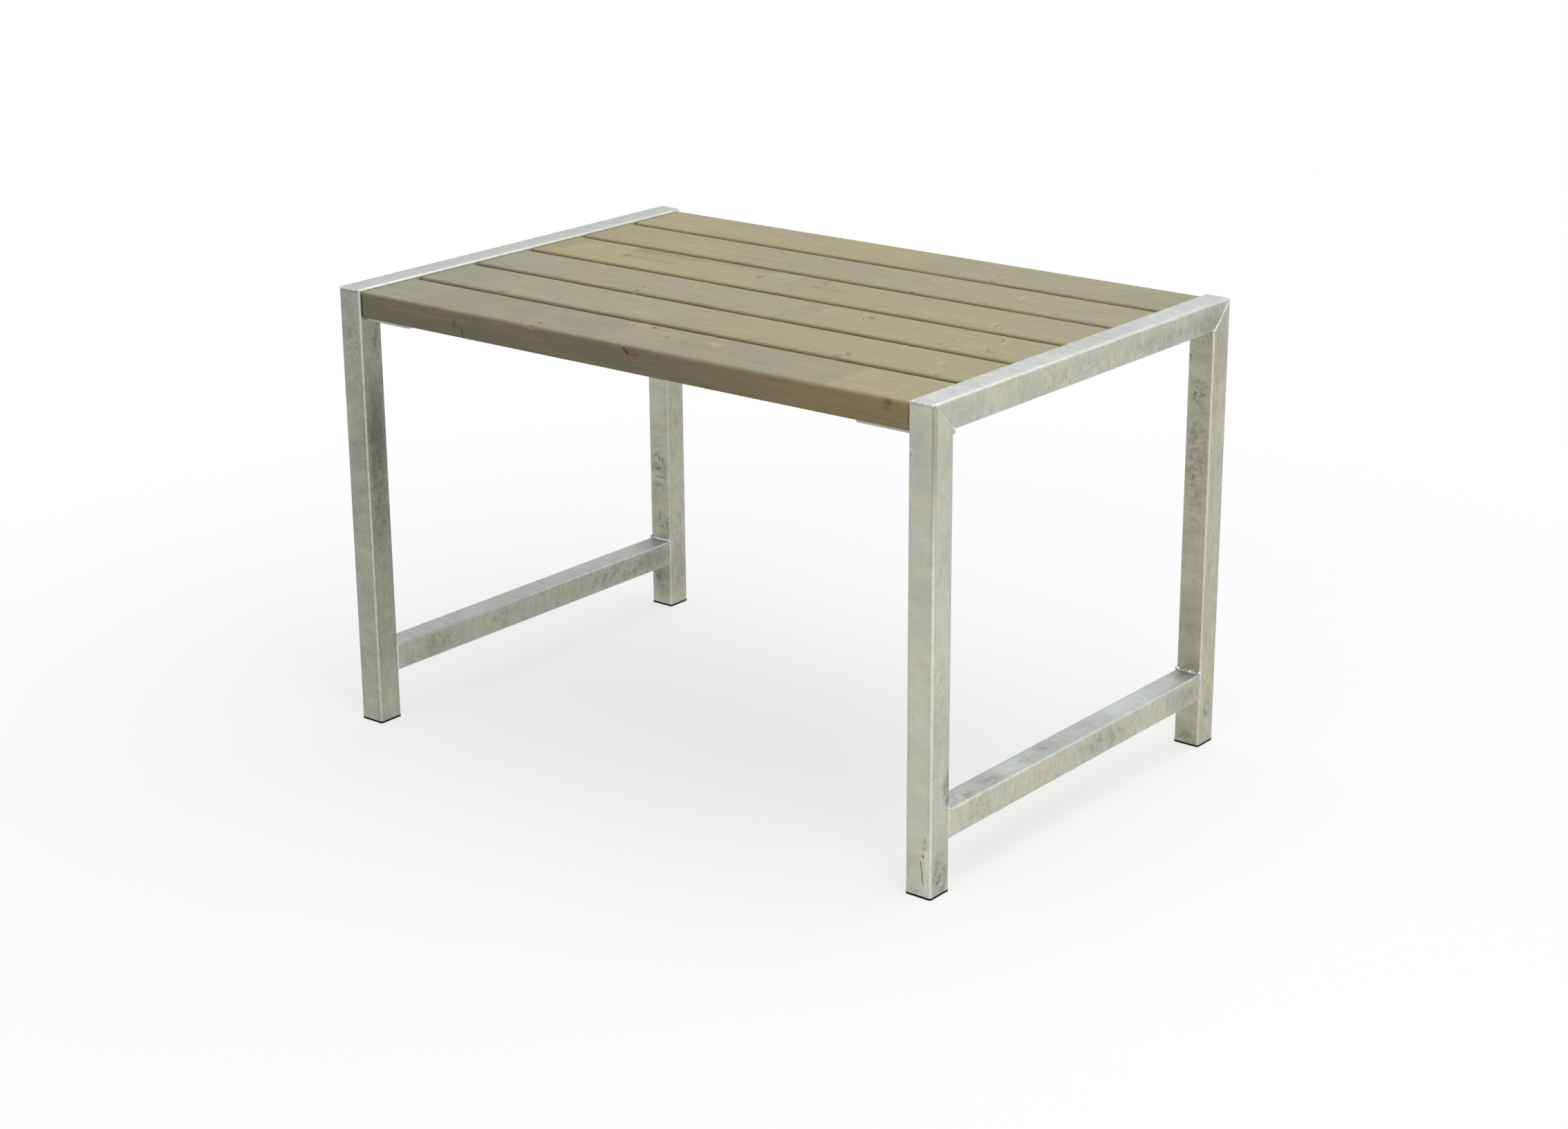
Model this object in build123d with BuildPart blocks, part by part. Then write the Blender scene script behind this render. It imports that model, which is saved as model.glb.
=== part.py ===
from build123d import *

import os

# A plank table on two hot-dip galvanised end frames. Millimetres, X along the planks, Y to the
# rear, Z up. The origin is on the ground under the middle of the table.

# Overall sizes. The depth follows from the planks, further down.
table_length = 1160.0  # over the outer faces of the two end frames
frame_height = 732.0  # ground to the top of the end frames
smallest_radius = 0.5  # where a wall leaves no room for the usual rounding

# Square tube of the end frames
tube_size = 45.0
tube_wall = 2.0
tube_corner_radius = 4.0
mitre_corner_radius = 3.0  # the weld over each upper corner of a frame is ground round

# Lower rails, butted between the legs
lower_rail_clearance = 81.0  # ground to the underside of the rail
vent_hole_diameter = 14.0  # hidden behind the rail's end, so that zinc can run through

# Plastic plugs in the open ends of the legs
plug_flange_thickness = 3.5
plug_flange_overhang = 0.4  # beyond each face of the tube
plug_flange_rounding = 1.2
plug_core_height = 20.0
plug_core_clearance = 3.0  # to the inside of the tube
plug_core_wall = 2.5
plug_fin_count = 3
plug_fin_pitch = 5.5
plug_fin_thickness = 1.6
plug_fin_clearance = 0.3  # to the inside of the tube

# Planks
plank_count = 6
plank_width = 120.0
plank_thickness = 42.0
plank_gap = 10.0
plank_setback = 3.0  # front and rear planks behind the faces of the end frames
plank_drop = 3.5  # plank top below the frame top
plank_left_gap = 3.0  # plank's left end to the left frame
plank_right_gap = 1.0  # plank's right end to the right frame
plank_top_radius = 5.0
plank_bottom_radius = 3.0
plank_end_chamfer = 1.0

# Flat bars under the plank ends, welded between the legs of each frame
support_width = 98.0
support_thickness = 5.0
support_setback = 10.0  # bar end behind the frame's front and rear faces
support_corner_radius = 4.0
support_edge_radius = 1.5

# Screws up through the flat bars, two in each plank end
screw_diameter = 5.5
screw_wood_over_tip = 7.0
screw_tip_length = 6.0
screw_tip_diameter = 1.4
screw_head_diameter = 11.0
screw_head_height = 3.2
screw_head_rounding = 1.4
screw_socket_size = 4.0  # across the flats of the hexagon socket
screw_socket_depth = 1.8
screw_edge_distance = 42.0  # from the free edge of the flat bar
screw_spacing = 64.0  # across the plank
screw_bar_clearance = 1.0  # on the diameter, in the flat bar
screw_wood_clearance = 0.2  # on the diameter, in the plank
screw_hole_spare_depth = 2.0

# Sizes and places that follow from the ones above
plank_pitch = plank_width + plank_gap
table_depth = plank_count * plank_pitch - plank_gap + 2 * plank_setback
tube_inner_size = tube_size - 2 * tube_wall
tube_inner_radius = max(tube_corner_radius - tube_wall, smallest_radius)
half_length = table_length / 2
half_depth = table_depth / 2
frame_inner_x = half_length - tube_size
frame_centre_x = half_length - tube_size / 2
leg_centre_y = half_depth - tube_size / 2
plank_length = 2 * frame_inner_x - plank_left_gap - plank_right_gap
plank_left_end = plank_left_gap - frame_inner_x
plank_top = frame_height - plank_drop
plank_bottom = plank_top - plank_thickness
support_bottom = plank_bottom - support_thickness
screw_length = support_thickness + plank_thickness - screw_wood_over_tip
sides = {"left": -1, "right": 1}
ends = {"front": -1, "rear": 1}


def plank_centre_y(index):
    """Middle of a plank, counted from 0 at the front."""
    return (index - (plank_count - 1) / 2) * plank_pitch


def screw_points(side, z):
    """Screw axes at one end of the table, two for each plank."""
    x = side * (frame_inner_x - support_width + screw_edge_distance)
    return [
        (x, plank_centre_y(index) + across * screw_spacing / 2, z)
        for index in range(plank_count)
        for across in (-1, 1)
    ]


def mitre_plane(x, end):
    """45 degree plane between a leg and its top rail, facing up and into the frame."""
    return Plane(origin=(x, end * half_depth, frame_height), z_dir=(0, -end, 1))


def tube_section(plane):
    """Cross-section of the square tube, centred on a plane."""
    with BuildSketch(plane) as section:
        RectangleRounded(tube_size, tube_size, tube_corner_radius)
        RectangleRounded(tube_inner_size, tube_inner_size, tube_inner_radius, mode=Mode.SUBTRACT)
    return section.sketch


def frame_outline(x):
    """Side view of an end frame with its two rounded upper corners, beyond the ground below."""
    below_ground = 2 * mitre_corner_radius
    with BuildSketch(Plane.YZ.offset(x - tube_size)) as outline:
        with Locations((0, (frame_height - below_ground) / 2)):
            RectangleRounded(table_depth, frame_height + below_ground, mitre_corner_radius)
    return outline.sketch


def make_leg(name, x, end):
    """Leg, mitred under the top rail, with the vent hole into the lower rail."""
    rail_axis_z = lower_rail_clearance + tube_size / 2
    with BuildPart() as leg:
        foot_end = Plane((x, end * leg_centre_y, plug_flange_thickness))
        extrude(tube_section(foot_end), amount=frame_height - plug_flange_thickness)
        split(bisect_by=mitre_plane(x, end), keep=Keep.BOTTOM)
        extrude(frame_outline(x), amount=2 * tube_size, mode=Mode.INTERSECT)
        inner_face = Plane(origin=(x, end * (half_depth - tube_size), rail_axis_z), z_dir=(0, end, 0))
        with BuildSketch(inner_face):
            Circle(vent_hole_diameter / 2)
        extrude(amount=tube_size / 2, mode=Mode.SUBTRACT)
    leg.part.label = name
    export_step(leg.part, f"parts/{name}.step")


def make_top_rail(name, x):
    """Top rail, mitred to both legs."""
    front_end = Plane(
        origin=(x, -half_depth, frame_height - tube_size / 2), x_dir=(1, 0, 0), z_dir=(0, 1, 0)
    )
    with BuildPart() as rail:
        extrude(tube_section(front_end), amount=table_depth)
        split(bisect_by=mitre_plane(x, ends["front"]), keep=Keep.TOP)
        split(bisect_by=mitre_plane(x, ends["rear"]), keep=Keep.TOP)
        extrude(frame_outline(x), amount=2 * tube_size, mode=Mode.INTERSECT)
    rail.part.label = name
    export_step(rail.part, f"parts/{name}.step")


def make_lower_rail(name, x):
    """Lower rail, cut square between the inner faces of the legs."""
    front_end = Plane(
        origin=(x, tube_size - half_depth, lower_rail_clearance + tube_size / 2),
        x_dir=(1, 0, 0),
        z_dir=(0, 1, 0),
    )
    with BuildPart() as rail:
        extrude(tube_section(front_end), amount=table_depth - 2 * tube_size)
    rail.part.label = name
    export_step(rail.part, f"parts/{name}.step")


def make_foot_plug(name, x, y):
    """Plug with a flange under the tube's end, a hollow core and thin fins that grip the tube."""
    flange_size = tube_size + 2 * plug_flange_overhang
    core_size = tube_inner_size - 2 * plug_core_clearance
    cavity_size = core_size - 2 * plug_core_wall
    fin_size = tube_inner_size - 2 * plug_fin_clearance
    with BuildPart() as plug:
        with BuildSketch(Plane((x, y, 0))):
            RectangleRounded(flange_size, flange_size, tube_corner_radius + plug_flange_overhang)
        extrude(amount=plug_flange_thickness)
        fillet(plug.faces().sort_by(Axis.Z)[0].edges(), plug_flange_rounding)
        with BuildSketch(Plane((x, y, plug_flange_thickness))):
            RectangleRounded(core_size, core_size, tube_inner_radius)
        extrude(amount=plug_core_height)
        for fin in range(plug_fin_count):
            fin_z = plug_flange_thickness + (fin + 1) * plug_fin_pitch - plug_fin_thickness
            with BuildSketch(Plane((x, y, fin_z))):
                RectangleRounded(fin_size, fin_size, tube_inner_radius)
            extrude(amount=plug_fin_thickness)
        with BuildSketch(Plane((x, y, plug_flange_thickness + plug_core_wall))):
            Rectangle(cavity_size, cavity_size)
        extrude(amount=plug_core_height, mode=Mode.SUBTRACT)
    plug.part.label = name
    export_step(plug.part, f"parts/{name}.step")


def make_support(name, side):
    """Flat bar under the plank ends, flush against the inner faces of both legs."""
    bar_length = table_depth - 2 * support_setback
    bar_x = side * (frame_inner_x - support_width / 2)
    with BuildPart() as support:
        with BuildSketch(Plane((bar_x, 0, support_bottom))):
            Rectangle(support_width, bar_length)
        extrude(amount=support_thickness)
        free_face = support.faces().sort_by(Axis.X)[0 if side > 0 else -1]
        fillet(free_face.edges().filter_by(Axis.Z), support_corner_radius)
        fillet(support.faces().sort_by(Axis.Z)[0].edges(), support_edge_radius)
        with Locations(*screw_points(side, support_bottom)):
            Cylinder(
                (screw_diameter + screw_bar_clearance) / 2,
                support_thickness,
                align=(Align.CENTER, Align.CENTER, Align.MIN),
                mode=Mode.SUBTRACT,
            )
    support.part.label = name
    export_step(support.part, f"parts/{name}.step")


def make_plank(name, index):
    """Plank with rounded long edges, eased ends and screw holes from below."""
    y = plank_centre_y(index)
    hole_depth = screw_length - support_thickness + screw_hole_spare_depth
    own_points = [
        point
        for side in sides.values()
        for point in screw_points(side, plank_bottom)
        if abs(point[1] - y) < plank_width / 2
    ]
    left_end = Plane(
        origin=(plank_left_end, y, (plank_top + plank_bottom) / 2), x_dir=(0, 1, 0), z_dir=(1, 0, 0)
    )
    with BuildPart() as plank:
        with BuildSketch(left_end) as section:
            Rectangle(plank_width, plank_thickness)
            fillet(section.vertices().group_by(Axis.Y)[-1], plank_top_radius)
            fillet(section.vertices().group_by(Axis.Y)[0], plank_bottom_radius)
        extrude(amount=plank_length)
        end_faces = plank.faces().filter_by(Axis.X)
        chamfer(end_faces.edges(), plank_end_chamfer)
        with Locations(*own_points):
            Cylinder(
                (screw_diameter + screw_wood_clearance) / 2,
                hole_depth,
                align=(Align.CENTER, Align.CENTER, Align.MIN),
                mode=Mode.SUBTRACT,
            )
    plank.part.label = name
    export_step(plank.part, f"parts/{name}.step")


def make_screws(name, side):
    """The screws at one end of the table, heads seated under the flat bar."""
    seats = screw_points(side, support_bottom)
    tip_seats = screw_points(side, support_bottom + screw_length - screw_tip_length)
    on_seat = (Align.CENTER, Align.CENTER, Align.MIN)
    with BuildPart() as screws:
        with Locations(*seats):
            Cylinder(
                screw_head_diameter / 2,
                screw_head_height,
                align=(Align.CENTER, Align.CENTER, Align.MAX),
            )
        fillet(screws.edges().group_by(Axis.Z)[0], screw_head_rounding)
        with BuildSketch(Plane.XY.offset(support_bottom - screw_head_height)):
            with Locations(*[(x, y) for x, y, _ in seats]):
                RegularPolygon(screw_socket_size / 2, 6, major_radius=False)
        extrude(amount=screw_socket_depth, mode=Mode.SUBTRACT)
        with Locations(*seats):
            Cylinder(screw_diameter / 2, screw_length - screw_tip_length, align=on_seat)
        with Locations(*tip_seats):
            Cone(screw_diameter / 2, screw_tip_diameter / 2, screw_tip_length, align=on_seat)
    screws.part.label = name
    export_step(screws.part, f"parts/{name}.step")


os.makedirs("parts", exist_ok=True)
for side_name, side in sides.items():
    x = side * frame_centre_x
    make_top_rail(f"{side_name}_top_rail", x)
    make_lower_rail(f"{side_name}_lower_rail", x)
    make_support(f"{side_name}_plank_support", side)
    make_screws(f"{side_name}_plank_screws", side)
    for end_name, end in ends.items():
        make_leg(f"{side_name}_{end_name}_leg", x, end)
        make_foot_plug(f"{side_name}_{end_name}_foot_plug", x, end * leg_centre_y)
for index in range(plank_count):
    make_plank(f"plank_{index + 1}", index)
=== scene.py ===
import math
import random
from dataclasses import dataclass

import bmesh
import bpy
from mathutils import Matrix, Vector, noise


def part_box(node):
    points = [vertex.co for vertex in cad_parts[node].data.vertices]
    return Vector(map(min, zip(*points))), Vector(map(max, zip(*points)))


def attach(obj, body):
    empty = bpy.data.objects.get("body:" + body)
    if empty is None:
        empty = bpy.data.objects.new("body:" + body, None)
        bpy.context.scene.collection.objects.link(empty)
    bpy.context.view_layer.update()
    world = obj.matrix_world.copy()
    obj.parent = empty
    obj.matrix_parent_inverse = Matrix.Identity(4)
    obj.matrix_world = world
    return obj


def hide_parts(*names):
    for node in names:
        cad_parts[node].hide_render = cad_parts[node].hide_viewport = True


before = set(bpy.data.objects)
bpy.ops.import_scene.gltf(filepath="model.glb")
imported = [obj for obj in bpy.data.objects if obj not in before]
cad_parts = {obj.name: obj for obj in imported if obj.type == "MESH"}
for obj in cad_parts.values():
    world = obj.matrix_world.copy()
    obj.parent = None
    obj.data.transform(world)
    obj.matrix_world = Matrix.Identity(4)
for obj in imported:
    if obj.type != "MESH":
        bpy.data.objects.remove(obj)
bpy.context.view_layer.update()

MM = 0.001
WHITE = (1.0, 1.0, 1.0, 1.0)
scene = bpy.context.scene
scene.view_settings.view_transform = "Standard"


# Camera: a long lens from the front right, looking down a little. Angles are in degrees.
VIEW_AZIMUTH = 38.763
VIEW_ELEVATION = 18.632
VIEW_ROLL = -0.403
CAMERA_PLACE = (2.8078, -3.4897, 1.7935)
CAMERA_LENS = 67.52
SENSOR_WIDTH = 36.0


def add_camera():
    azimuth = math.radians(VIEW_AZIMUTH)
    elevation = math.radians(VIEW_ELEVATION)
    roll = math.radians(VIEW_ROLL)
    back = Vector((math.sin(azimuth) * math.cos(elevation),
                   -math.cos(azimuth) * math.cos(elevation),
                   math.sin(elevation)))
    level_right = Vector((math.cos(azimuth), math.sin(azimuth), 0.0))
    level_up = back.cross(level_right)
    right = math.cos(roll) * level_right + math.sin(roll) * level_up
    turn = Matrix((right, back.cross(right), back)).transposed().to_4x4()
    data = bpy.data.cameras.new("camera")
    data.sensor_width = SENSOR_WIDTH
    data.lens = CAMERA_LENS
    data.clip_end = 100.0
    camera = bpy.data.objects.new("camera", data)
    scene.collection.objects.link(camera)
    camera.matrix_world = Matrix.Translation(CAMERA_PLACE) @ turn
    scene.camera = camera


# Node building.
def grey(level):
    return level, level, level, 1.0


def paint(red, green, blue):
    """The linear colour of a shade that reads as these three on an eight-bit screen."""
    def linear(level):
        level /= 255.0
        return level / 12.92 if level <= 0.04045 else ((level + 0.055) / 1.055) ** 2.4
    return linear(red), linear(green), linear(blue), 1.0


def metres(sizes):
    return [size * MM for size in sizes]


class Nodes:
    """Adds nodes to one tree. Every value may be a number, a colour or another node's output."""

    def __init__(self, tree):
        self.tree = tree

    def feed(self, socket, value):
        if isinstance(value, bpy.types.NodeSocket):
            self.tree.links.new(value, socket)
        else:
            socket.default_value = value

    def add(self, kind, inputs=None, **settings):
        node = self.tree.nodes.new("ShaderNode" + kind)
        for name, value in settings.items():
            setattr(node, name, value)
        for name, value in (inputs or {}).items():
            self.feed(node.inputs[name], value)
        return node

    def use(self, group, inputs):
        """The outputs of one more copy of a node group."""
        return self.add("Group", inputs, node_tree=group).outputs

    def math(self, operation, a, b=0.0, c=0.0, clamp=False):
        node = self.add("Math", {0: a, 1: b, 2: c}, operation=operation, use_clamp=clamp)
        return node.outputs[0]

    def times(self, a, b):
        return self.math("MULTIPLY", a, b)

    def less(self, a, b):
        return self.math("SUBTRACT", a, b)

    def larger(self, a, b):
        return self.math("MAXIMUM", a, b)

    def size(self, a):
        return self.math("ABSOLUTE", a)

    def stack(self, level, *shares):
        """level, plus value times factor for each (value, factor)."""
        for value, factor in shares:
            level = self.math("MULTIPLY_ADD", value, factor, level)
        return level

    def swing(self, level, *shares):
        """level, raised and lowered by each (noise, contrast) round the noise's middle."""
        return self.stack(level, *((self.less(value, 0.5), contrast) for value, contrast in shares))

    def vector(self, operation, a, b=(0.0, 0.0, 0.0)):
        node = self.add("VectorMath", {0: a, 1: b}, operation=operation)
        return node.outputs["Value" if operation in ("LENGTH", "DOT_PRODUCT") else "Vector"]

    def scaled(self, vector, factor):
        node = self.add("VectorMath", {"Vector": vector, "Scale": factor}, operation="SCALE")
        return node.outputs["Vector"]

    def each(self, vector, factors):
        """Each part of a vector or colour times its own factor."""
        return self.vector("MULTIPLY", vector, factors)

    def parts(self, vector):
        return self.add("SeparateXYZ", {"Vector": vector}).outputs

    def join(self, x, y, z):
        return self.add("CombineXYZ", {"X": x, "Y": y, "Z": z}).outputs["Vector"]

    def facing(self):
        return self.parts(self.add("NewGeometry").outputs["Normal"])

    def step(self, value, low, high, to_low=0.0, to_high=1.0):
        """to_low at low, to_high at high, eased between them. low may be above high."""
        node = self.add("MapRange", {"Value": value, "From Min": low, "From Max": high,
                                     "To Min": to_low, "To Max": to_high}, interpolation_type="SMOOTHSTEP")
        return node.outputs["Result"]

    def mix(self, factor, a, b, share=None):
        """a where the factor, times share if that is given, is 0, and b where it is 1."""
        if share is not None:
            factor = self.times(factor, share)
        node = self.add("Mix", {0: factor}, data_type="RGBA", clamp_factor=True)
        self.feed(node.inputs[6], a)
        self.feed(node.inputs[7], b)
        return node.outputs[2]

    def tint(self, factor, shade, factors, share=None):
        """The shade, mixed with itself times the factors."""
        return self.mix(factor, shade, self.each(shade, factors), share)

    def noise(self, vector, scale, detail=2.0, roughness=0.5, distortion=0.0):
        """Smooth noise from 0 to 1. Three scales stretch it."""
        if isinstance(scale, tuple):
            vector = self.each(vector, scale)
            scale = 1.0
        node = self.add("TexNoise", {"Vector": vector, "Scale": scale, "Detail": detail,
                                     "Roughness": roughness, "Distortion": distortion})
        return node.outputs["Fac"]

    def bands(self, value, starts, shades):
        """The shade of the last start that the value has passed."""
        node = self.add("ValToRGB", {"Fac": value})
        ramp = node.color_ramp
        ramp.interpolation = "CONSTANT"
        ramp.elements[0].color = shades[0]
        ramp.elements[-1].color = shades[-1]
        for start, shade in zip(starts[1:], shades[1:]):
            ramp.elements.new(start).color = shade
        return node.outputs["Color"]


class Surface(Nodes):
    """A new material's nodes. place is where a point is on its piece, and spot the same in X, Y and Z."""

    def __init__(self, name):
        self.material = bpy.data.materials.new(name)
        self.material.use_nodes = True
        super().__init__(self.material.node_tree)
        self.tree.nodes.clear()
        self.place = self.add("TexCoord").outputs["Object"]
        self.spot = self.parts(self.place)

    def shaken(self, scale, amount):
        """The place moved about by a little noise, so that marks get natural outlines."""
        wobble = self.add("TexNoise", {"Vector": self.place, "Scale": scale, "Detail": 3.0})
        offset = self.vector("SUBTRACT", wobble.outputs["Color"], (0.5, 0.5, 0.5))
        return self.vector("ADD", self.place, self.scaled(offset, amount))

    def within(self, centre, radii, edge, full):
        """0 outside an oval, 1 well inside it. edge and full are shares of the radii, which are in mm."""
        away = self.vector("SUBTRACT", self.place, metres(centre))
        return self.step(self.vector("LENGTH", self.vector("DIVIDE", away, metres(radii))), edge, full)

    def finish(self, shade, rough, height, strength, depth, metallic=0.0, specular=0.5):
        """Feeds the shader and returns the material. height, strength and depth are the bump's."""
        bump = self.add("Bump", {"Height": height, "Strength": strength, "Distance": depth})
        shader = self.add("BsdfPrincipled", {"Base Color": shade, "Roughness": rough, "Metallic": metallic,
                                             "Specular IOR Level": specular,
                                             "Normal": bump.outputs["Normal"]})
        self.add("OutputMaterial", {"Surface": shader.outputs["BSDF"]})
        return self.material


class Group(Nodes):
    """A new node group. inputs and outputs give the kind of each socket by its name."""

    def __init__(self, name, inputs, outputs):
        super().__init__(bpy.data.node_groups.new(name, "ShaderNodeTree"))
        for way, sockets in (("INPUT", inputs), ("OUTPUT", outputs)):
            for label, kind in sockets.items():
                self.tree.interface.new_socket(label, in_out=way, socket_type="NodeSocket" + kind)
        self.given = self.tree.nodes.new("NodeGroupInput").outputs
        self.result = self.tree.nodes.new("NodeGroupOutput").inputs

    def finish(self, **results):
        """Feeds the group's outputs and returns its tree."""
        for label, value in results.items():
            self.feed(self.result[label], value)
        return self.tree


def make_mark_group():
    """A mark along a short line: Core inside, Body round it, a thin dark rim, fading outside Radius."""
    nodes = Group("mark",
                  {"Colour": "Color", "Place": "Vector", "Start": "Vector", "Run": "Vector",
                   "Radius": "Float", "Core": "Color", "Body": "Color", "Amount": "Float",
                   "Rim": "Float", "Grit": "Float", "Height": "Float"},
                  {"Colour": "Color", "Height": "Float"})
    given = nodes.given
    away = nodes.vector("SUBTRACT", given["Place"], given["Start"])
    along = nodes.math("DIVIDE", nodes.vector("DOT_PRODUCT", away, given["Run"]),
                       nodes.vector("DOT_PRODUCT", given["Run"], given["Run"]), clamp=True)
    reach = nodes.vector("LENGTH", nodes.vector("SUBTRACT", away, nodes.scaled(given["Run"], along)))
    reach = nodes.math("ADD", nodes.math("DIVIDE", reach, given["Radius"]), given["Grit"])
    body = nodes.times(nodes.step(reach, 1.40, 0.50), given["Amount"])
    core = nodes.times(nodes.step(reach, 0.80, 0.20), given["Amount"])
    rim = nodes.times(nodes.step(nodes.size(nodes.less(reach, 1.0)), 0.30, 0.0),
                      nodes.times(given["Rim"], 0.6))
    rings = nodes.stack(0.5, (nodes.math("SINE", nodes.times(reach, 13.0)), 0.5))
    ringed = nodes.mix(rings, given["Body"], given["Core"], 0.45)
    round_about = nodes.times(nodes.step(reach, 2.8, 1.0), nodes.times(rings, given["Rim"]))
    shade = nodes.mix(round_about, given["Colour"], given["Body"], 0.5)
    shade = nodes.mix(body, shade, ringed)
    shade = nodes.mix(core, shade, given["Core"])
    shade = nodes.mix(rim, shade, paint(64, 54, 40))
    sunk = nodes.times(nodes.larger(core, rim), 0.6)
    return nodes.finish(Colour=shade, Height=nodes.less(given["Height"], sunk))


def make_flow_group():
    """Spreads a pattern round a knot, so that the grain bends past it."""
    nodes = Group("grain_flow",
                  {"Place": "Vector", "Centre": "Vector", "Radii": "Vector", "Strength": "Float"},
                  {"Place": "Vector"})
    given = nodes.given
    away = nodes.vector("SUBTRACT", given["Place"], given["Centre"])
    reach = nodes.vector("LENGTH", nodes.vector("DIVIDE", away, given["Radii"]))
    pull = nodes.times(nodes.step(reach, 2.2, 0.0), given["Strength"])
    return nodes.finish(Place=nodes.vector("SUBTRACT", given["Place"], nodes.scaled(away, pull)))


mark_group = make_mark_group()
flow_group = make_flow_group()
# A mark's line can't be shorter than this.
SHORTEST_RUN = 0.01 * MM


def add_mark(nodes, state, place, start, end, radius, look, amount=1.0, rim=0.0, grit=0.0):
    """Runs the colour and height in state through one more mark. Points and radius are in metres, and
    look is the colours of the mark's core and of its body."""
    run = [b - a for a, b in zip(start, end)]
    if max(abs(step) for step in run) < SHORTEST_RUN:
        run[0] = 0.1 * MM
    made = nodes.use(mark_group, {"Colour": state[0], "Place": place, "Start": start, "Run": run,
                                  "Radius": radius, "Core": look[0], "Body": look[1], "Amount": amount,
                                  "Rim": rim, "Grit": grit, "Height": state[1]})
    return made["Colour"], made["Height"]


# Galvanised steel.
ZINC_WARM = paint(204, 202, 186)
ZINC_COOL = paint(196, 198, 187)
# The colour of the painted glint on rounded corners and of the painted highlight bands along the top rails'
# edges.
ZINC_PAINTED_GLINT = paint(226, 228, 224)
ZINC_DARK = paint(104, 104, 94)
ZINC_PIT = paint(44, 42, 38)
# How far from a tube's middle its rounded corner begins.
CORNER_START = 18.5 * MM
# Half the height over which a corner's painted shade begins.
DARK_FADE = 120


@dataclass
class Steel:
    """How one tube or bar looks. Points and sizes are millimetres.
    tone and tint colour all of it; top and painted_top_tint make what faces up bluer, and darker where top is
    below 1, a painted reflection and painted shade of the light from above; edge is how strong the painted
    glint on the rounded corners is; clouds and sandy are how strong its patches and its fine grain are, and
    along is its long axis;
    shades are soft patches, (centre, radii, how much darker, or lighter if negative), partly the zinc's own
    patina and
    partly painted shade and light: darker under the table top, lighter near the floor, and a painted
    reflection of a leg on a rail's top beside it; stains and chips are (centre, radii, strength); scratches
    are (from, to, half width, strength); seams and pale bands are (face axis, face, line axis, line, half
    width, strength), the bands being painted highlights along a rounded edge; painted_dark_corner is (x side,
    y side, height) of a corner whose glint gives way to painted shade above that height."""

    tone: float = 1.0
    tint: tuple = (1.0, 1.0, 1.0)
    top: float = 1.0
    painted_top_tint: tuple = (0.955, 0.985, 1.12)
    edge: float = 0.5
    clouds: float = 1.0
    sandy: float = 1.0
    along: str = "Z"
    shades: tuple = ()
    stains: tuple = ()
    chips: tuple = ()
    scratches: tuple = ()
    seams: tuple = ()
    bands: tuple = ()
    painted_dark_corner: tuple = ()


def line_on_face(nodes, wander, face_axis, face, line_axis, line, half):
    """1 on a line along a face, 0 off it."""
    on_face = nodes.step(nodes.size(nodes.less(nodes.spot[face_axis], face * MM)), 1.2 * MM, 0.6 * MM)
    off = nodes.math("ADD", nodes.less(nodes.spot[line_axis], line * MM), wander)
    return nodes.times(nodes.step(nodes.size(off), half * 1.3 * MM, half * 0.5 * MM), on_face)


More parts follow.
